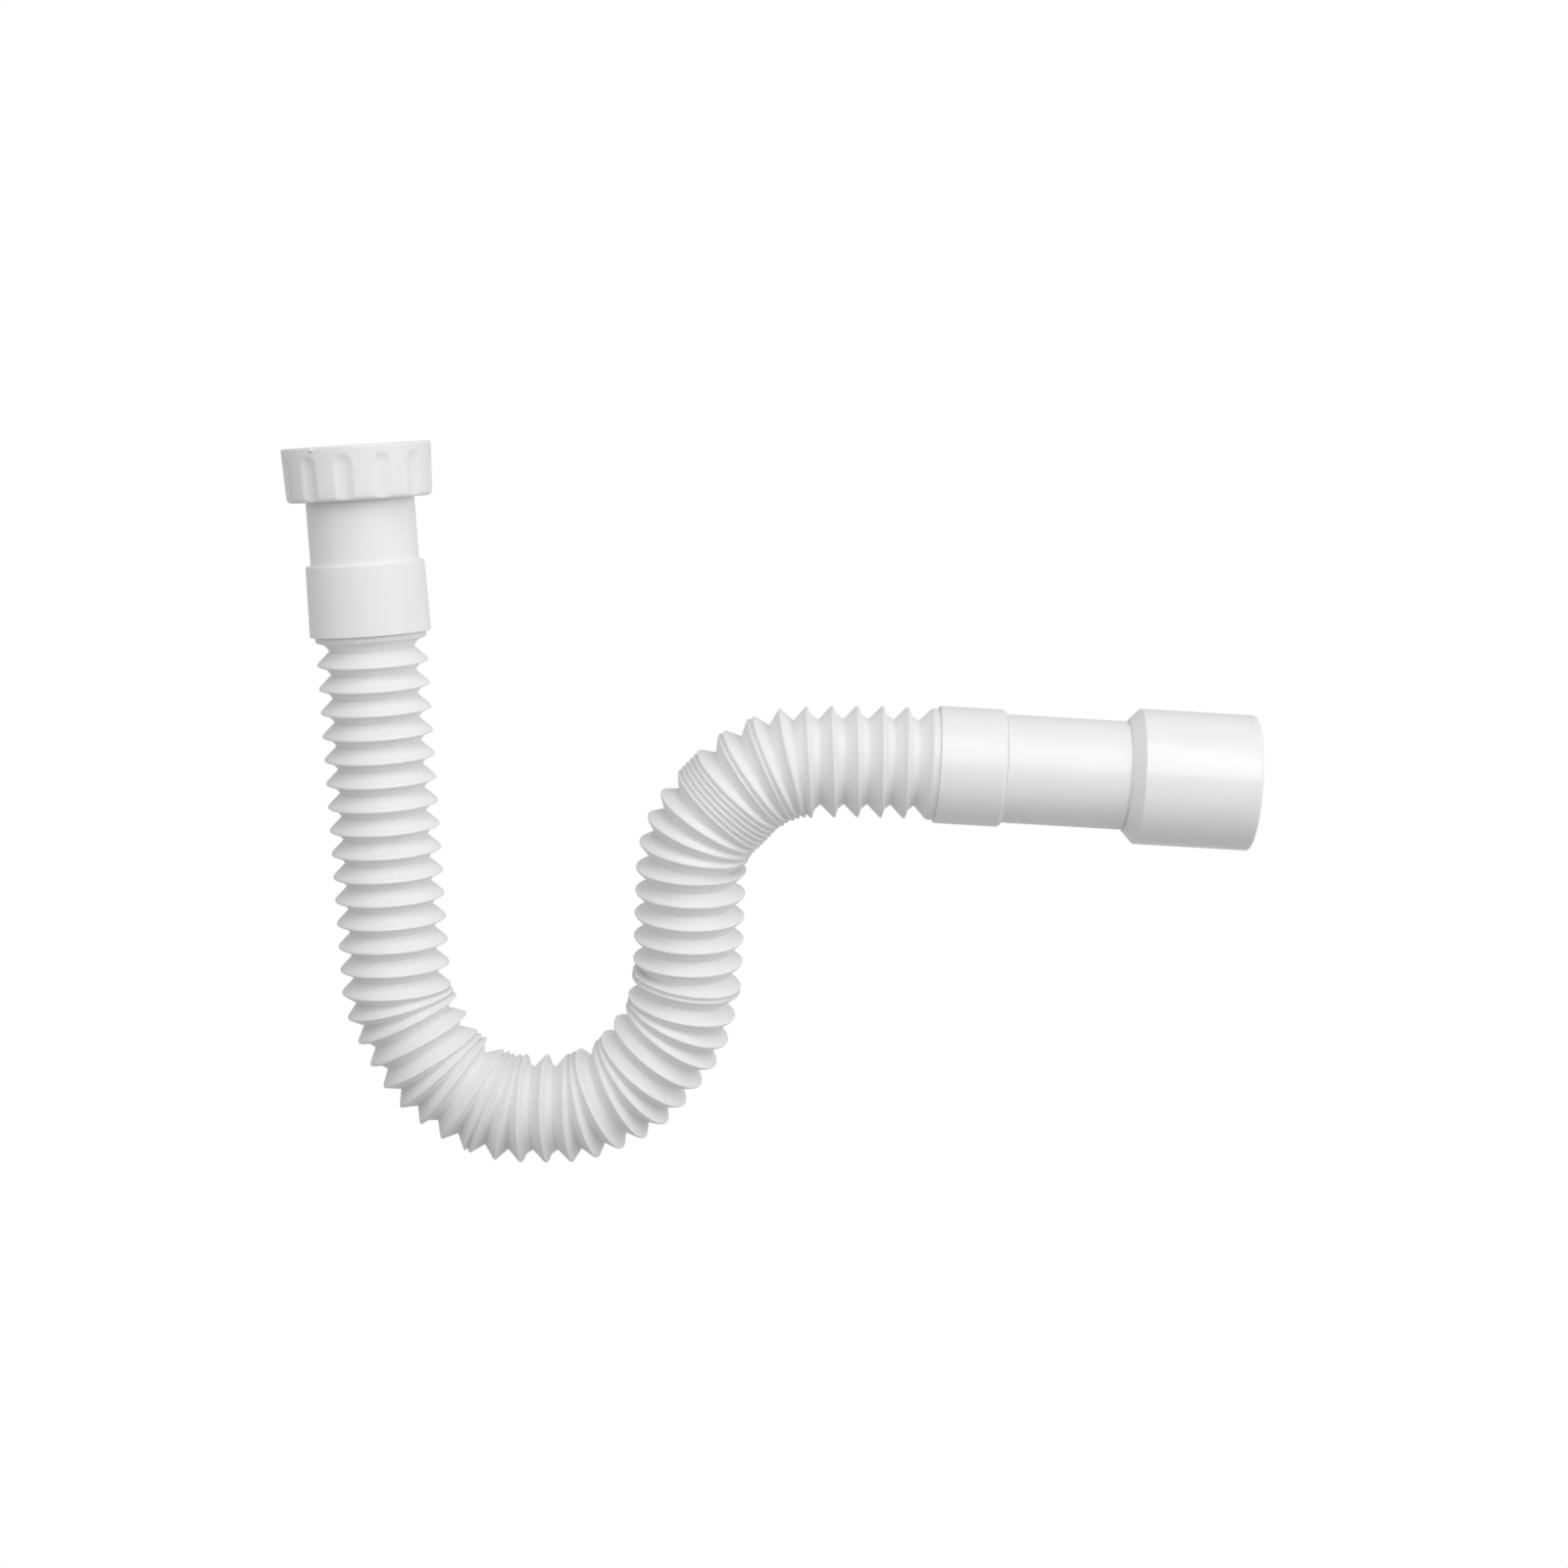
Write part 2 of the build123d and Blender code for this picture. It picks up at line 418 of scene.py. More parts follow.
class Outline:
    """Closed outline of a turned piece, listed up its outside and back down its inside.

    A point on the straight run beside each round holds the shading. It is SUPPORT times the round away from
    the arc, and no further than RUN_SHARE of the run.
    """

    ARC_STEPS = 4
    SUPPORT = 0.8
    RUN_SHARE = 0.48

    def __init__(self, corners: Sequence[Corner]) -> None:
        """Keep the outline's corners."""
        self.corners = list(corners)

    def rounding(self, index: int) -> list[Vector]:
        """Points of one rounded corner.

        Args:
            index: The corner's place in the list.

        Returns:
            Points as (radius, height), with one on each straight run beside the arc to hold its shading.
        """
        corner = self.corners[index]
        here = Vector((corner.radius, corner.height))
        before, after = (self.corners[(index + step) % len(self.corners)] for step in (-1, 1))
        back = Vector((before.radius, before.height)) - here
        ahead = Vector((after.radius, after.height)) - here
        half = back.angle(ahead) / 2
        inset = corner.round / math.tan(half)
        inward = (back.normalized() + ahead.normalized()).normalized()
        centre = here + inward * (corner.round / math.sin(half))
        first = here + back.normalized() * inset - centre
        last = here + ahead.normalized() * inset - centre
        sweep = math.copysign(math.pi - 2 * half, first.x * last.y - first.y * last.x)
        turns = [sweep * step / self.ARC_STEPS for step in range(self.ARC_STEPS + 1)]
        arc = [centre + Matrix.Rotation(turn, 2) @ first for turn in turns]
        reach = inset + self.SUPPORT * corner.round
        lead, tail = (
            here + run.normalized() * min(reach, self.RUN_SHARE * run.length) for run in (back, ahead)
        )
        return [lead, *arc, tail]

    def points(self) -> list[Vector]:
        """Points of the whole outline.

        Returns:
            Points as (radius, height), with the rows that the runs ask for.
        """
        roundings = [self.rounding(index) for index in range(len(self.corners))]
        points: list[Vector] = []
        for index, corner in enumerate(self.corners):
            points += roundings[index]
            start, end = points[-1], roundings[(index + 1) % len(roundings)][0]
            points += [start.lerp(end, row / corner.rows) for row in range(1, corner.rows)]
        return points

    def rings(self, place: Matrix, polished_from: float = math.inf) -> list[Ring]:
        """Rings of the outline turned about a place's Z axis, the first one again at the end.

        Args:
            place: Where the outline's origin is.
            polished_from: Height from which the finish shows its polished gloss.

        Returns:
            The rings in order.
        """
        rings = [
            Ring(place @ slide(point.y), point.x, float(point.y > polished_from)) for point in self.points()
        ]
        return [*rings, rings[0]]


# Finishes

class Wear(Enum):
    """What a finish shows beside its clouds and grain."""

    PLAIN = "plain"
    FOLDED = "folded"


@dataclass(frozen=True)
class Finish:
    """Plastic or rubber finish with soft clouds of tone, an even or smeared gloss and a fine grain.

    The clouds run from the pale to the deep tone, and the smears from the gloss to the matt roughness.
    Polished is the roughness of rings that are polished. Sizes and heights are in mm, and so are SEAM_CORE
    and SEAM_EDGE, the distances from a parting line at which it starts to fade and is gone.
    """

    name: str
    slot: str
    pale: Colour
    deep: Colour
    gloss: float
    matt: float
    cloud_size: float = 18.0
    smear_size: float = 7.2
    grain_size: float = 0.5
    grain_height: float = 0.02
    ior: float = 1.49
    wear: Wear = Wear.PLAIN
    polished: float | None = None

    CLOUD_DETAIL = 1.0
    SMEAR_DETAIL = 2.0
    GRAIN_DETAIL = 3.0
    NOISE_LOW = 0.2
    NOISE_HIGH = 0.8
    SEAM_CORE = 0.112
    SEAM_EDGE = 0.28
    SEAM_TONE = (0.4, 0.4, 0.4, 1.0)
    SEAM_SHADE = 0.05
    SEAM_RELIEF = 2.0
    MARK_COUNT = 7.0
    MARK_RELIEF = 0.5

    # Places of the colour sockets on a Mix node
    MIX_A = 6
    MIX_B = 7
    MIX_RESULT = 2

    def noise(self, tree: Tree, place: Socket, size: float, detail: float) -> Socket:
        """Add noise.

        Args:
            tree: The material's tree.
            place: Coordinates in metres.
            size: Size of the noise's features in mm.
            detail: Octaves of finer noise.

        Returns:
            The noise, from 0 to 1.
        """
        sockets = {"Vector": place, "Scale": 1.0 / (size * MM), "Detail": detail}
        return tree.add("ShaderNodeTexNoise", sockets).outputs["Fac"]

    def mixed(self, tree: Tree, share: Socket, first: object, second: object) -> Socket:
        """Mix two colours by a share of the second."""
        sockets = {"Factor": share, self.MIX_A: first, self.MIX_B: second}
        return tree.add("ShaderNodeMix", sockets, data_type="RGBA").outputs[self.MIX_RESULT]

    def attribute(self, tree: Tree, name: str) -> Socket:
        """Read a number that the skin keeps on its points."""
        return tree.add("ShaderNodeAttribute", attribute_name=name).outputs["Fac"]

    def seam(self, tree: Tree) -> Socket:
        """Share of the parting line that runs along both sides of the blown hose."""
        gap = tree.math("DIVIDE", tree.math("ABSOLUTE", self.attribute(tree, "seam_gap")), MM)
        return tree.ramp(gap, self.SEAM_CORE, self.SEAM_EDGE, 1.0, 0.0)

    def marks(self, tree: Tree) -> Socket:
        """Height of the faint ring marks that the mould leaves on the flanks."""
        turns = tree.math("MULTIPLY", self.attribute(tree, "rise"), self.MARK_COUNT * math.tau)
        return tree.math("MULTIPLY", tree.math("SINE", turns), self.MARK_RELIEF)

    def material(self) -> bpy.types.Material:
        """Build the finish as a node material.

        Returns:
            The material.
        """
        material = bpy.data.materials.new(self.name)
        tree = emptied(material)
        place = tree.add("ShaderNodeTexCoord").outputs["Object"]
        cloud = self.noise(tree, place, self.cloud_size, self.CLOUD_DETAIL)
        cloud = tree.ramp(cloud, self.NOISE_LOW, self.NOISE_HIGH)
        tone = self.mixed(tree, cloud, (*self.pale, 1.0), (*self.deep, 1.0))
        smear = self.noise(tree, place, self.smear_size, self.SMEAR_DETAIL)
        roughness = tree.ramp(smear, self.NOISE_LOW, self.NOISE_HIGH, self.gloss, self.matt)
        relief = self.noise(tree, place, self.grain_size, self.GRAIN_DETAIL)
        if self.polished is not None:
            span = {"Value": self.attribute(tree, "rise"), "To Min": roughness, "To Max": self.polished}
            roughness = tree.add("ShaderNodeMapRange", span).outputs["Result"]
        if self.wear is Wear.FOLDED:
            seam = self.seam(tree)
            tone = self.mixed(tree, tree.math("MULTIPLY", seam, self.SEAM_SHADE), tone, self.SEAM_TONE)
            relief = tree.math("ADD", relief, self.marks(tree))
            relief = tree.math("ADD", relief, tree.math("MULTIPLY", seam, self.SEAM_RELIEF))
        bump = tree.add("ShaderNodeBump", {"Distance": self.grain_height * MM, "Height": relief})
        sockets = {
            "Base Color": tone,
            "Roughness": roughness,
            "IOR": self.ior,
            "Normal": bump.outputs["Normal"],
        }
        shader = tree.add("ShaderNodeBsdfPrincipled", sockets)
        tree.add("ShaderNodeOutputMaterial", {"Surface": shader.outputs["BSDF"]})
        return material


NUT_FINISH = Finish(
    "nut_white",
    slot="nut_plastic",
    pale=(0.875, 0.875, 0.875),
    deep=(0.86, 0.86, 0.86),
    gloss=0.34,
    matt=0.42,
)
TUBE_FINISH = Finish(
    "tube_white",
    slot="fitting_plastic",
    pale=(0.885, 0.885, 0.885),
    deep=(0.87, 0.87, 0.87),
    gloss=0.3,
    matt=0.3,
    polished=0.11,
)
HOSE_FINISH = Finish(
    "hose_white",
    slot="hose_plastic",
    pale=(0.885, 0.885, 0.885),
    deep=(0.87, 0.87, 0.87),
    gloss=0.38,
    matt=0.46,
    wear=Wear.FOLDED,
)
RUBBER_FINISH = Finish(
    "washer_black",
    slot="washer_rubber",
    pale=(0.035, 0.035, 0.036),
    deep=(0.022, 0.022, 0.023),
    gloss=0.62,
    matt=0.78,
    grain_height=0.05,
)


# Pieces

class Workshop:
    """Makes pieces with the trees and finishes that they share."""

    def __init__(self) -> None:
        """Build the trees once."""
        self.skin = RingSkin()
        self.scoops = GripScoops()
        self.thread = FemaleThread()
        self.materials: dict[Finish, bpy.types.Material] = {}

    def material(self, finish: Finish) -> bpy.types.Material:
        """Find a finish's material, which is made at its first use.

        Args:
            finish: The finish.

        Returns:
            Its material.
        """
        if finish not in self.materials:
            self.materials[finish] = finish.material()
        return self.materials[finish]

    def wrap(
        self, name: str, rings: Sequence[Ring], segments: int, finish: Finish, seam_turn: float = 0.0
    ) -> bpy.types.Object:
        """Make a piece as a closed skin through rings.

        Args:
            name: The piece's name.
            rings: Its rings in mm, out along the outside and back along the inside.
            segments: Points on each ring.
            finish: Its finish.
            seam_turn: Angle of its parting line from each ring's first point.

        Returns:
            The piece, in metres.
        """
        mesh = bpy.data.meshes.new(name)
        mesh.from_pydata([ring.place.translation * MM for ring in rings], [], [])
        sides = [ring.place.col[0].xyz for ring in rings]
        fronts = [side.cross(ring.place.col[2].xyz) for side, ring in zip(sides, rings)]
        for label, vectors in (("side", sides), ("front", fronts)):
            numbers = [number for vector in vectors for number in vector]
            mesh.attributes.new(label, "FLOAT_VECTOR", "POINT").data.foreach_set("vector", numbers)
        radii = [ring.radius * MM for ring in rings]
        rises = [ring.rise for ring in rings]
        for label, numbers in (("radius", radii), ("rise", rises)):
            mesh.attributes.new(label, "FLOAT", "POINT").data.foreach_set("value", numbers)
        piece = bpy.data.objects.new(name, mesh)
        bpy.context.scene.collection.objects.link(piece)
        values = {
            "Segments": segments,
            "Seam Turn": math.radians(seam_turn),
            "Material": self.material(finish),
        }
        self.skin.apply(piece, values)
        return piece

    def place(self, piece: bpy.types.Object, node: str, body: str, finish: Finish) -> None:
        """Let a rigid piece stand for its CAD node and move with its body.

        Args:
            piece: The piece.
            node: Name of the CAD node.
            body: Name of the body.
            finish: Not used.
        """
        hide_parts(node)
        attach(piece, body)
        LOG.info("%s: %d faces, for %s, on %s", piece.name, len(piece.data.polygons), node, body)


@dataclass(frozen=True)
class CouplingNut:
    """Nut with a threaded mouth, a lip under the tail's flange, scooped grips and a gate mark."""

    radius: float = 27.5
    foot_radius: float = 26.7
    height: float = 20.0
    top_round: float = 0.8
    foot_round: float = 1.8
    mouth_round: float = 0.5
    lip: float = 3.0
    lip_round: float = 0.3
    play: float = 0.3
    hole_round: float = 0.5
    relief_radius: float = 24.0
    relief_round: float = 0.15
    thread_radius: float = 22.4
    thread_length: float = 11.0
    thread_pitch: float = 2.309
    thread_depth: float = 1.35
    thread_fade: float = 1.5
    grip_count: float = 12.0
    grip_cutter_radius: float = 9.0
    grip_depth: float = 0.9
    grip_roof: float = 6.9
    grip_softness: float = 0.14
    gate_turn: float = -115.0
    gate_drop: float = 1.0
    gate_size: tuple[float, float, float] = (0.8, 1.1, 0.9)
    gate_subdivisions: int = 3
    segments: int = 360
    wall_rows: int = 44
    thread_rows: int = 56

    def outline(self) -> Outline:
        """Draw the nut's section.

        Returns:
            The outline, up the outside and down through the thread, relief and lip.
        """
        lip_top = self.lip - self.height
        hole_radius = TUBE_RADIUS + self.play
        return Outline([
            Corner(self.foot_radius, -self.height, self.foot_round, self.wall_rows),
            Corner(self.radius, 0.0, self.top_round),
            Corner(self.thread_radius, 0.0, self.mouth_round, self.thread_rows),
            Corner(self.thread_radius, -self.thread_length, self.relief_round),
            Corner(self.relief_radius, -self.thread_length, self.relief_round),
            Corner(self.relief_radius, lip_top),
            Corner(hole_radius, lip_top, self.lip_round),
            Corner(hole_radius, -self.height, self.hole_round),
        ])

    def cut_grips(self, piece: bpy.types.Object, shop: Workshop) -> None:
        """Scoop the grips out of the nut's wall.

        Args:
            piece: The nut.
            shop: Keeper of the tree and material.
        """
        values = {
            "Count": self.grip_count,
            "Reach": (self.radius + self.grip_cutter_radius - self.grip_depth) * MM,
            "Draft": (self.radius - self.foot_radius) / self.height,
            "Cutter Radius": self.grip_cutter_radius * MM,
            "Roof": -self.grip_roof * MM,
            "Softness": self.grip_softness * MM,
            "Material": shop.material(NUT_FINISH),
        }
        shop.scoops.apply(piece, values)

    def cut_thread(self, piece: bpy.types.Object, shop: Workshop) -> None:
        """Cut the thread into the nut's mouth.

        Args:
            piece: The nut.
            shop: Keeper of the tree and material.
        """
        values = {
            "Bore": self.thread_radius * MM,
            "Pitch": self.thread_pitch * MM,
            "Depth": self.thread_depth * MM,
            "Start": 0.0,
            "End": -self.thread_length * MM,
            "Fade": self.thread_fade * MM,
            "Material": shop.material(NUT_FINISH),
        }
        shop.thread.apply(piece, values)

    def add_gate_mark(self, piece: bpy.types.Object) -> None:
        """Leave the small stub of the mould's gate on the rim.

        Args:
            piece: The nut.
        """
        turn = spin(self.gate_turn)
        spot = Matrix.Translation((self.radius * MM, 0.0, -self.gate_drop * MM))
        size = Matrix.Diagonal((*(length * MM for length in self.gate_size), 1.0))
        shape = bmesh.new()
        shape.from_mesh(piece.data)
        stub = bmesh.ops.create_icosphere(
            shape, subdivisions=self.gate_subdivisions, radius=1.0, matrix=turn @ spot @ size
        )
        for face in {face for vertex in stub["verts"] for face in vertex.link_faces}:
            face.smooth = True
        shape.to_mesh(piece.data)
        shape.free()

    def build(self, shop: Workshop) -> None:
        """Make the nut, cut its grips and thread, leave the gate mark and place it.

        Args:
            shop: Maker of the skin.
        """
        rings = self.outline().rings(Matrix.Identity(4))
        piece = shop.wrap("nut_moulding", rings, self.segments, NUT_FINISH)
        self.cut_grips(piece, shop)
        self.cut_thread(piece, shop)
        self.add_gate_mark(piece)
        shop.place(piece, "coupling_nut", "nut", NUT_FINISH)


@dataclass(frozen=True)
class SealingWasher:
    """Flat rubber ring on the tail's flange."""

    bore: float = 17.0
    radius: float = FLANGE_RADIUS
    foot: float = FLANGE_TOP
    thickness: float = 3.0
    round: float = 0.5
    segments: int = 128

    def build(self, shop: Workshop) -> None:
        """Make the washer and place it.

        Args:
            shop: Maker of the skin.
        """
        top = self.foot + self.thickness
        outline = Outline([
            Corner(self.radius, self.foot, self.round),
            Corner(self.radius, top, self.round),
            Corner(self.bore, top, self.round),
            Corner(self.bore, self.foot, self.round),
        ])
        rings = outline.rings(Matrix.Identity(4))
        piece = shop.wrap("washer_ring", rings, self.segments, RUBBER_FINISH)
        shop.place(piece, "sealing_washer", "trap_body", RUBBER_FINISH)


@dataclass(frozen=True)
class InletTail:
    """Tail with a flange in the nut, a tube, and a collar that holds the hose."""

    collar_top: float = -43.6
    collar_foot: float = -69.8
    collar_top_radius: float = 21.9
    collar_foot_radius: float = 22.4
    collar_round: float = 0.4
    foot_round: float = 0.35
    root_round: float = 0.35
    flange_root_round: float = 0.3
    mouth_round: float = 0.4
    step_round: float = 0.3
    socket_top: float = FIRST_CREST + SOCKET_REACH
    segments: int = 160

    def build(self, shop: Workshop) -> None:
        """Make the tail and place it.

        Args:
            shop: Maker of the skin.
        """
        outline = Outline([
            Corner(self.collar_foot_radius, self.collar_foot, self.foot_round),
            Corner(self.collar_top_radius, self.collar_top, self.collar_round),
            Corner(TUBE_RADIUS, self.collar_top, self.root_round),
            Corner(TUBE_RADIUS, FLANGE_FOOT, self.flange_root_round),
            Corner(FLANGE_RADIUS, FLANGE_FOOT),
            Corner(FLANGE_RADIUS, FLANGE_TOP),
            Corner(TUBE_BORE, FLANGE_TOP, self.mouth_round),
            Corner(TUBE_BORE, self.socket_top, self.step_round),
            Corner(SOCKET_RADIUS, self.socket_top),
            Corner(SOCKET_RADIUS, self.collar_foot),
        ])
        rings = outline.rings(Matrix.Identity(4))
        piece = shop.wrap("tail_moulding", rings, self.segments, TUBE_FINISH)
        shop.place(piece, "inlet_tail", "trap_body", TUBE_FINISH)


class FoldState(Enum):
    """States that a fold of the bellows can rest in."""

    OPEN = "O"
    OPEN_IN_BEND = "B"
    OPEN_IN_RUN = "R"
    HALF = "H"
    WEDGE = "W"
    SHUT = "S"


@dataclass(frozen=True)
class Fold:
    """A fold's distance to the next crest, its turn, and how deep its gap shows.

    The kink is where along the short flank it breaks. The tucks are how far up the next long flank the flank
    that is folded inside out shuts the gap, on the bend's outer and inner side. A tucked flank shows no kink.
    """

    pitch: float
    turn: float = 0.0
    kink: float = 0.43
    outer_tuck: float = 0.0
    inner_tuck: float = 0.0


@dataclass(frozen=True)
class Stretch:
    """Folds of one stretch of the route, the side that they turn to, and a lean before them."""

    folds: str
    side: int = 1
    lean: float = 0.0


@dataclass
class Bellows:
    """Blown hose of folds, each with a long flank up to its crest and a short flank that folds inside out.

    A fold that turns less than the mitre turn can stand open all round. The hang is how the hose leaves the
    tail: a turn away from the viewer and one away from the outlet. Crest edge and valley edge list rings as a
    share of the short flank and a height under the crest or over the valley, kink bend as a share from the
    kink and a height over it, and crest land as a step before the next crest and a height under it.
    """

    crest_radius: float = CREST_RADIUS
    valley_radius: float = 15.6
    kink_radius: float = 17.1
    bore_radius: float = 14.3
    inner_crest: float = 19.55
    inner_kink: float = 16.45
    inner_valley: float = 14.95
    cuff_bore: float = 19.0
    cuff_length: float = CUFF_LENGTH
    cuff_step: float = 2.0
    first_crest: float = FIRST_CREST
    long_flank: float = 5.2
    flank_slope: float = 1.045
    mitre_turn: float = 3.0
    hang_nod: float = 2.5
    hang_swing: float = 0.85
    crest_edge: tuple[tuple[float, float], ...] = ((0.045, 0.12), (0.11, 0.55))
    kink_bend: tuple[tuple[float, float], ...] = ((-0.13, 0.68), (-0.03, 0.22), (0.06, -0.12))
    valley_edge: tuple[tuple[float, float], ...] = ((0.92, 0.2),)
    long_steps: tuple[float, ...] = (0.35, 0.9, 4.0, 4.3)
    crest_land: tuple[tuple[float, float], ...] = ((0.75, 0.3), (0.6, 0.2), (0.3, 0.05))
    blend_folds: int = 5
    seam_turn: float = 23.0
    segments: int = 88
    crest: Matrix = field(init=False)
    crests: list[Matrix] = field(init=False)
    outer: list[Ring] = field(init=False)
    inner: list[Ring] = field(init=False)

    FOLDS = {
        FoldState.OPEN: Fold(8.9),
        FoldState.OPEN_IN_BEND: Fold(8.9, turn=2.5),
        FoldState.OPEN_IN_RUN: Fold(8.9, turn=1.2),
        FoldState.HALF: Fold(7.35, turn=7.6, kink=0.46),
        FoldState.WEDGE: Fold(6.15, turn=11.1, inner_tuck=3.4),
        FoldState.SHUT: Fold(2.05, outer_tuck=3.4, inner_tuck=3.4),
    }
    ROUTE = (
        Stretch("O" * 15),
        Stretch("WWBBWWBWSWWB"),
        Stretch("BWWBWWBBWWBSH", lean=6.0),
        Stretch("O" * 4),
        Stretch("HWWWSSSSSWSWSWW", side=-1, lean=3.5),
        Stretch("R" * 5, side=-1),
    )

    def __post_init__(self) -> None:
        """Start with the inlet's cuff, with each place's X axis towards the viewer."""
        rows = ((0, -1, 0, 0), (-1, 0, 0, 0), (0, 0, -1, self.first_crest), (0, 0, 0, 1))
        self.crest = Matrix(rows)
        self.crests = [self.crest.copy()]
        cuff_end, cuff_step = (self.crest @ slide(-step) for step in (self.cuff_length, self.cuff_step))
        self.outer = [self.ring(place, self.crest_radius) for place in (cuff_end, self.crest)]
        self.inner = [Ring(place, self.cuff_bore) for place in (cuff_end, cuff_step)]

    def is_open(self, fold: Fold) -> bool:
        """Whether a fold stands open all round."""
        return fold.turn < self.mitre_turn and fold.pitch > self.long_flank

    def ring(self, place: Matrix, radius: float) -> Ring:
        """A ring of the outer skin, which knows how near to a crest it is."""
        rise = (radius - self.valley_radius) / (self.crest_radius - self.valley_radius)
        return Ring(place, radius, rise)

    def short_flank(self, fold: Fold, side: int, share: float) -> Matrix:
        """Place on a fold's short flank.

        Args:
            fold: The fold.
            side: The side that it turns to, 1 or -1.
            share: How far along the flank, from 0 at the crest to 1 at the valley.

        Returns:
            The place, tilted by its share of the fold's turn and, on the first fold, of the hang.
        """
        turn = side * fold.turn
        step = slide((fold.pitch - self.long_flank) * share)
        start = self.crest
        if len(self.crests) == 1:
            start = start @ nod(-self.hang_nod * share) @ swing(-self.hang_swing * share)
        return start @ swing(turn / 2) @ step @ swing(turn * (share - 0.5))

    def short_rings(self, fold: Fold) -> list[tuple[float, float]]:
        """Rings between a fold's crest and the bottom of its gap.

        Args:
            fold: The fold.

        Returns:
            The share along the short flank and the radius of each ring.
        """
        rings = [(share, self.crest_radius - drop) for share, drop in self.crest_edge]
        if not fold.inner_tuck:
            rings += [(fold.kink + share, self.kink_radius + height) for share, height in self.kink_bend]
            rings += [(share, self.valley_radius + height) for share, height in self.valley_edge]
        return rings

    def flank_radius(self, step: float) -> float:
        """Radius of the long flank at a step from its valley."""
        return self.valley_radius + self.flank_slope * step

    def floor(self, fold: Fold, side: int, valley: Matrix) -> Ring:
        """Ring at the bottom of a fold's gap, which lies on the next long flank.

        Args:
            fold: The fold.
            side: The side that it turns to.
            valley: The place of its valley.

        Returns:
            The ring, tilted and set off to the bend's inner side where the gap is shut there.
        """
        outer, inner = (self.flank_radius(tuck) for tuck in (fold.outer_tuck, fold.inner_tuck))
        tilt = math.degrees(math.atan2(fold.inner_tuck - fold.outer_tuck, outer + inner))
        middle = Vector((0.0, side * (outer - inner) / 2, (fold.outer_tuck + fold.inner_tuck) / 2))
        return self.ring(valley @ Matrix.Translation(middle) @ swing(-side * tilt), (outer + inner) / 2)

    def line_fold(self, fold: Fold, side: int, valley: Matrix, from_open: bool) -> None:
        """Add the inside of one fold, which follows the fold only where it stands open.

        Args:
            fold: The fold.
            side: The side that it turns to.
            valley: The place of its valley.
            from_open: Whether the fold before it stands open.
        """
        if self.is_open(fold):
            if from_open:
                self.inner.append(Ring(self.crest, self.inner_crest))
            self.inner.append(Ring(self.short_flank(fold, side, fold.kink), self.inner_kink))
            self.inner.append(Ring(valley, self.inner_valley))
        elif fold.turn > self.mitre_turn:
            self.inner.append(Ring(self.short_flank(fold, side, 0.5), self.bore_radius))

    def add_fold(self, fold: Fold, side: int, from_open: bool) -> None:
        """Add one fold's rings, from beyond its crest to the next crest.

        Args:
            fold: The fold.
            side: The side that it turns to.
            from_open: Whether the fold before it stands open.
        """
        for share, radius in self.short_rings(fold):
            self.outer.append(self.ring(self.short_flank(fold, side, share), radius))
        valley = self.short_flank(fold, side, 1.0)
        self.outer.append(self.floor(fold, side, valley))
        for step in self.long_steps:
            if step > fold.inner_tuck:
                self.outer.append(self.ring(valley @ slide(step), self.flank_radius(step)))
        for step, drop in self.crest_land:
            self.outer.append(self.ring(valley @ slide(self.long_flank - step), self.crest_radius - drop))
        self.line_fold(fold, side, valley, from_open)
        self.crest = valley @ slide(self.long_flank)
        self.crests.append(self.crest.copy())
        self.outer.append(self.ring(self.crest, self.crest_radius))

    def walk(self) -> None:
        """Lay every fold of the route, then the outlet's cuff."""
        from_open = False
        for stretch in self.ROUTE:
            self.crest = self.crest @ spin(stretch.lean)
            for letter in stretch.folds:
                fold = self.FOLDS[FoldState(letter)]
                self.add_fold(fold, stretch.side, from_open)
                from_open = self.is_open(fold)
        cuff_step, cuff_end = (self.crest @ slide(step) for step in (self.cuff_step, self.cuff_length))
        self.outer.append(self.ring(cuff_end, self.crest_radius))
        self.inner += [Ring(place, self.cuff_bore) for place in (cuff_step, cuff_end)]

    def build(self, shop: Workshop) -> None:
        """Make the hose.

        Args:
            shop: Maker of the skin.
        """
        self.walk()
        rings = [*self.outer, *reversed(self.inner), self.outer[0]]
        piece = shop.wrap("hose_bellows", rings, self.segments, HOSE_FINISH, self.seam_turn)
        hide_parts("corrugated_hose")
        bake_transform(piece)
        faces, folds = len(piece.data.polygons), len(self.crests) - 1
        LOG.info("%s: %d faces, %d folds, from trap_body to outlet", piece.name, faces, folds)


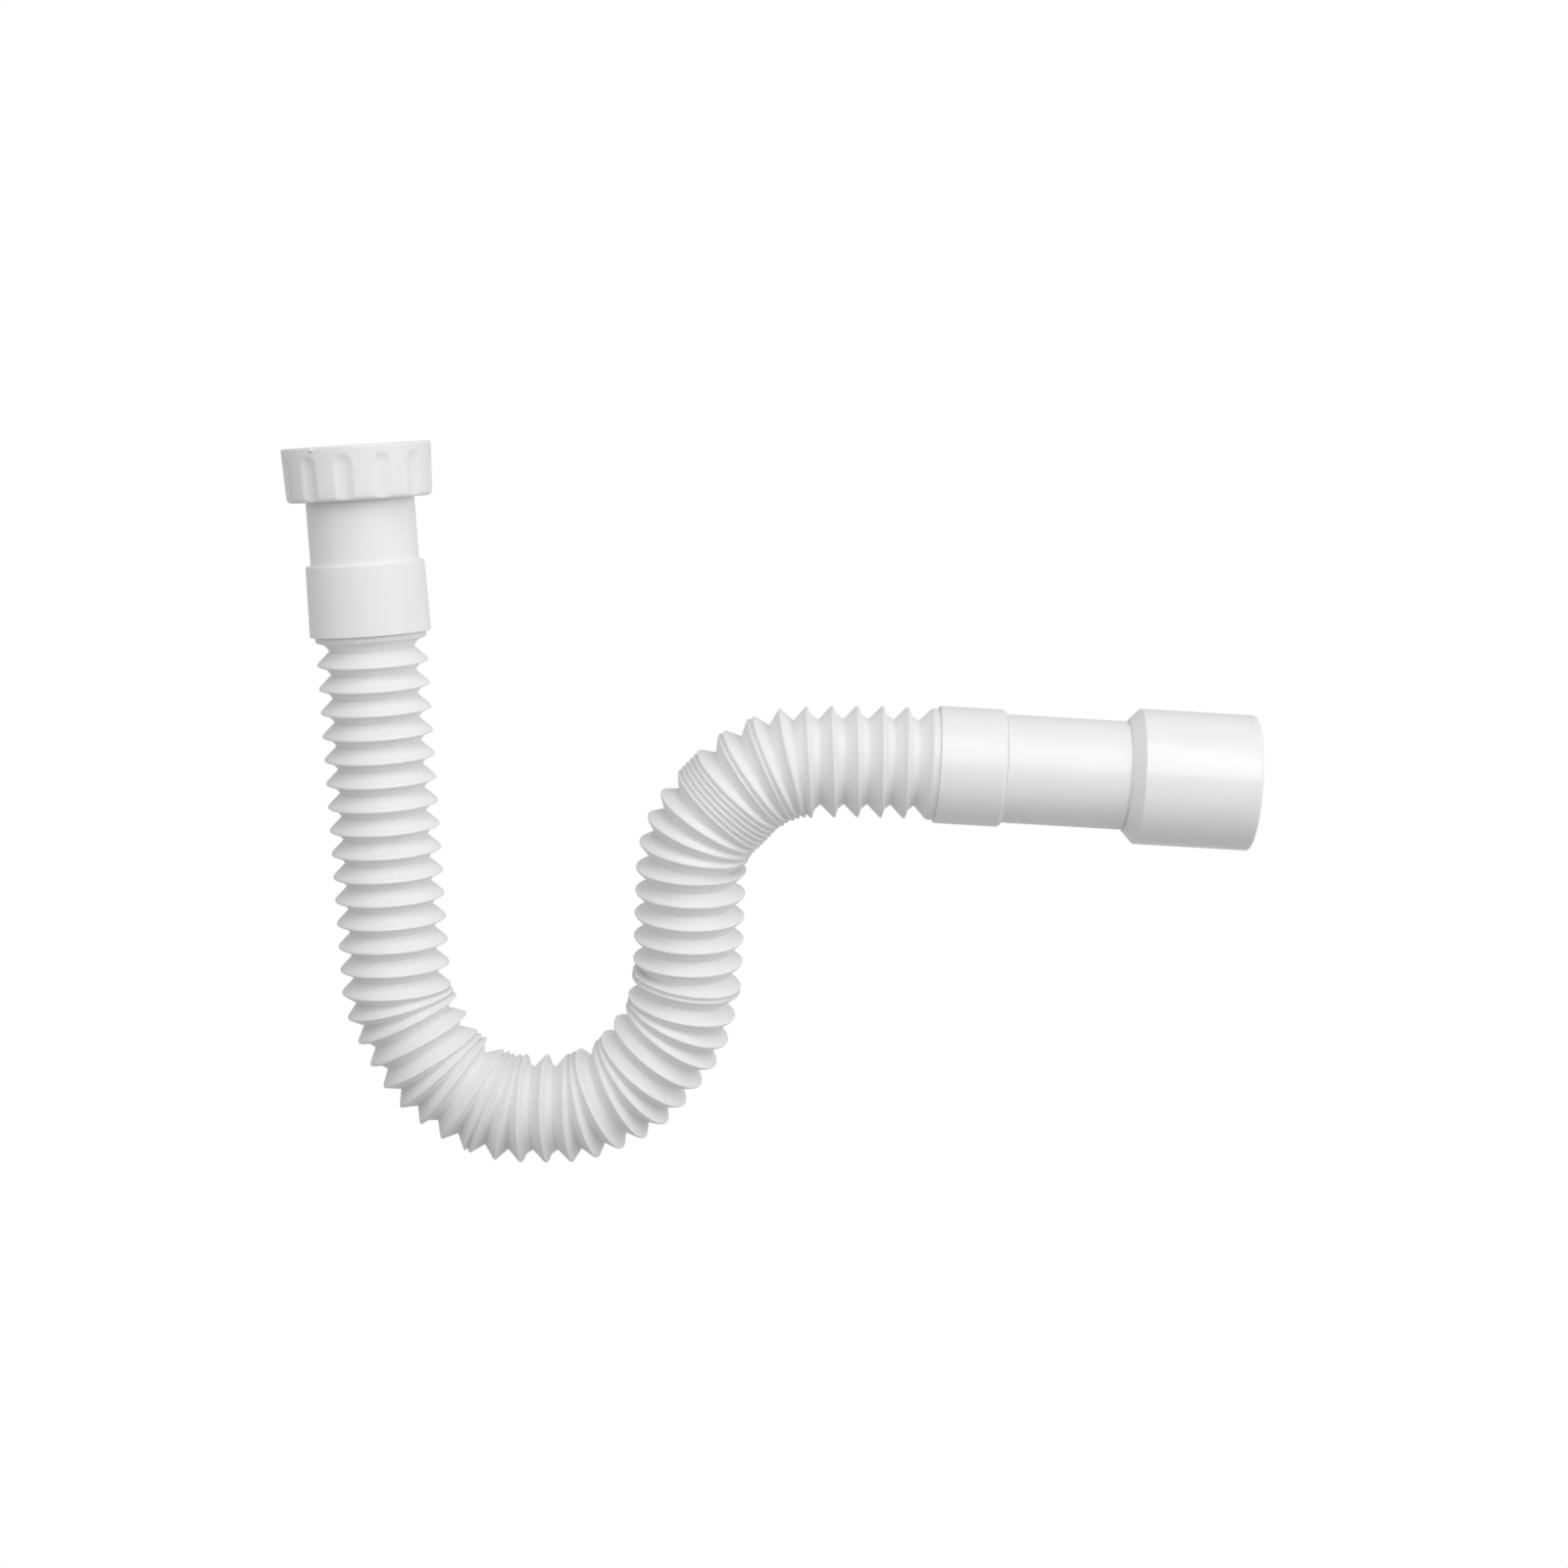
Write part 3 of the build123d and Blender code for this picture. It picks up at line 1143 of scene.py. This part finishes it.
@dataclass(frozen=True)
class OutletAdapter:
    """Collar on the hose's end, a tube and a grooved flare to a wider open spigot.

    Its distances run along its axis from the hose's last crest.
    """

    mouth: float = 2.2
    mouth_round: float = 0.35
    collar_end: float = 26.7
    collar_radius: float = 21.6
    collar_round: float = 1.4
    neck_radius: float = 19.75
    neck_root_round: float = 0.8
    neck_end: float = 29.4
    neck_round: float = 6.0
    tube_end: float = 71.3
    groove_radius: float = 19.4
    groove_round: float = 0.15
    flare_start: float = 72.1
    flare_root_radius: float = 20.6
    flare_root_round: float = 0.25
    flare_end: float = 76.3
    flare_round: float = 0.5
    spigot_radius: float = 25.0
    spigot_bore: float = 22.8
    spigot_end: float = 118.9
    spigot_round: float = 1.0
    spigot_lip_round: float = 0.5
    spigot_floor: float = 3.0
    floor_round: float = 0.6
    step_round: float = 0.3
    segments: int = 160

    def outline(self) -> Outline:
        """Draw the adapter's section.

        Returns:
            The outline, along the outside from the mouth to the spigot and back through the bore.
        """
        return Outline([
            Corner(self.collar_radius, self.mouth, self.mouth_round),
            Corner(self.collar_radius, self.collar_end, self.collar_round),
            Corner(self.neck_radius, self.collar_end, self.neck_root_round),
            Corner(TUBE_RADIUS, self.neck_end, self.neck_round),
            Corner(TUBE_RADIUS, self.tube_end, self.groove_round),
            Corner(self.groove_radius, self.tube_end, self.groove_round),
            Corner(self.groove_radius, self.flare_start, self.groove_round),
            Corner(self.flare_root_radius, self.flare_start, self.flare_root_round),
            Corner(self.spigot_radius, self.flare_end, self.flare_round),
            Corner(self.spigot_radius, self.spigot_end, self.spigot_round),
            Corner(self.spigot_bore, self.spigot_end, self.spigot_lip_round),
            Corner(self.spigot_bore, self.flare_end + self.spigot_floor, self.floor_round),
            Corner(TUBE_BORE, self.flare_start, self.floor_round),
            Corner(TUBE_BORE, SOCKET_REACH, self.step_round),
            Corner(SOCKET_RADIUS, SOCKET_REACH),
            Corner(SOCKET_RADIUS, self.mouth),
        ])

    def build(self, shop: Workshop, last_crest: Matrix) -> None:
        """Make the adapter on the hose's end and place it.

        Args:
            shop: Maker of the skin.
            last_crest: The place of the hose's last crest.
        """
        rings = self.outline().rings(last_crest, polished_from=self.flare_end)
        piece = shop.wrap("outlet_moulding", rings, self.segments, TUBE_FINISH)
        shop.place(piece, "outlet_adapter", "outlet", TUBE_FINISH)


# Studio

@dataclass(frozen=True)
class Softbox:
    """Soft light that faces the object: its direction from the object, distance, sizes and brightness."""

    name: str
    azimuth: float
    elevation: float
    distance: float
    width: float
    height: float
    radiance: float

    def power(self) -> float:
        """Power in watts that gives the light its brightness."""
        return self.radiance * math.pi * self.width * self.height


@dataclass(frozen=True)
class Studio:
    """White studio with soft lights and a camera at the photograph's viewing angle.

    Lengths are in metres. The camera and the lights face the target. The tent has an even glow, and each of
    its sides is a direction times the glow that it adds there.
    """

    target: tuple[float, float, float] = (0.14988, 0.002767, -0.135073)
    camera_azimuth: float = 3.398
    camera_elevation: float = 6.795
    camera_roll: float = -3.626
    camera_distance: float = 1.09439
    lens: float = 67.5
    sensor: float = 36.0
    floor_height: float = -0.55
    floor_size: float = 12.0
    tent: float = 0.15
    tent_sides: tuple[tuple[float, float, float], ...] = (
        (0.46, 0.0, 0.0),
        (-0.2, 0.0, 0.0),
        (0.0, -0.2, 0.0),
        (0.0, 0.45, -0.15),
        (0.0, 0.0, 0.12),
    )
    softboxes: tuple[Softbox, ...] = (
        Softbox(
            "front_softbox", azimuth=12.0, elevation=38.0, distance=1.5, width=1.0, height=1.6, radiance=2.25
        ),
        Softbox(
            "near_softbox", azimuth=55.0, elevation=20.0, distance=0.7, width=0.5, height=0.4, radiance=1.0
        ),
        Softbox(
            "right_softbox", azimuth=65.0, elevation=20.0, distance=1.5, width=0.4, height=0.8, radiance=0.3
        ),
        Softbox(
            "left_softbox", azimuth=-50.0, elevation=20.0, distance=1.5, width=0.4, height=0.8, radiance=0.8
        ),
    )

    def towards(self, azimuth: float, elevation: float) -> Vector:
        """Direction from the object.

        Args:
            azimuth: 0 on the viewer's side and 90 on the outlet's side.
            elevation: Angle over the level.

        Returns:
            The direction, of length 1.
        """
        turn, tilt = math.radians(azimuth), math.radians(elevation)
        level = math.cos(tilt)
        return Vector((math.sin(turn) * level, -math.cos(turn) * level, math.sin(tilt)))

    def add_camera(self) -> None:
        """Put the camera where the photograph was taken from."""
        back = self.towards(self.camera_azimuth, self.camera_elevation)
        right = Vector((0.0, 0.0, 1.0)).cross(back).normalized()
        up = back.cross(right)
        axes = Matrix((right, up, back)).transposed().to_4x4()
        stand = Matrix.Translation(Vector(self.target) + back * self.camera_distance)
        optics = bpy.data.cameras.new("photo_camera")
        optics.sensor_width = self.sensor
        optics.lens = self.lens
        camera = bpy.data.objects.new("photo_camera", optics)
        camera.matrix_world = stand @ axes @ spin(self.camera_roll)
        bpy.context.scene.collection.objects.link(camera)
        bpy.context.scene.camera = camera

    def add_softboxes(self) -> None:
        """Hang the soft lights round the object."""
        for box in self.softboxes:
            light = bpy.data.lights.new(box.name, "AREA")
            light.shape = "RECTANGLE"
            light.size = box.width
            light.size_y = box.height
            light.energy = box.power()
            lamp = bpy.data.objects.new(box.name, light)
            out = self.towards(box.azimuth, box.elevation)
            lamp.location = Vector(self.target) + out * box.distance
            lamp.rotation_mode = "QUATERNION"
            lamp.rotation_quaternion = out.to_track_quat("Z", "Y")
            lamp.visible_camera = False
            bpy.context.scene.collection.objects.link(lamp)

    def add_floor(self) -> None:
        """Lay a plain white floor that shows no shadow, as in the photograph."""
        half = self.floor_size / 2
        sides = ((-half, -half), (half, -half), (half, half), (-half, half))
        mesh = bpy.data.meshes.new("floor")
        mesh.from_pydata([(x, y, self.floor_height) for x, y in sides], [], [(0, 1, 2, 3)])
        material = bpy.data.materials.new("floor_white")
        tree = emptied(material)
        glow = tree.add("ShaderNodeEmission", {"Color": WHITE})
        tree.add("ShaderNodeOutputMaterial", {"Surface": glow.outputs["Emission"]})
        mesh.materials.append(material)
        floor = bpy.data.objects.new("floor", mesh)
        floor.visible_diffuse = False
        floor.visible_glossy = False
        floor.visible_shadow = False
        bpy.context.scene.collection.objects.link(floor)

    def add_world(self) -> None:
        """Surround the object with a tent that glows more on some sides, before a white backdrop."""
        world = bpy.data.worlds.new("white_studio")
        tree = emptied(world)
        direction = tree.add("ShaderNodeTexCoord").outputs["Generated"]
        strength = self.tent
        for side in self.tent_sides:
            slope = tree.add("ShaderNodeVectorMath", {0: direction, 1: side}, operation="DOT_PRODUCT")
            glow = tree.math("MAXIMUM", slope.outputs["Value"], 0.0)
            strength = tree.math("ADD", glow, strength)
        tent = tree.add("ShaderNodeBackground", {"Color": WHITE, "Strength": strength})
        backdrop = tree.add("ShaderNodeBackground", {"Color": WHITE, "Strength": 1.0})
        seen = tree.add("ShaderNodeLightPath").outputs["Is Camera Ray"]
        both = tree.add("ShaderNodeMixShader", {0: seen, 1: tent.outputs[0], 2: backdrop.outputs[0]})
        tree.add("ShaderNodeOutputWorld", {"Surface": both.outputs[0]})
        bpy.context.scene.world = world

    def build(self) -> None:
        """Set up the camera, lights, floor and surroundings."""
        self.add_camera()
        self.add_softboxes()
        self.add_floor()
        self.add_world()
        bpy.context.scene.view_settings.view_transform = "Standard"


def main() -> None:
    """Build the trap piece by piece, then the studio."""
    logging.basicConfig(level=logging.INFO, format="%(name)s: %(message)s")
    shop = Workshop()
    CouplingNut().build(shop)
    SealingWasher().build(shop)
    InletTail().build(shop)
    bellows = Bellows()
    bellows.build(shop)
    OutletAdapter().build(shop, bellows.crest)
    Studio().build()


if __name__ == "__main__":
    main()
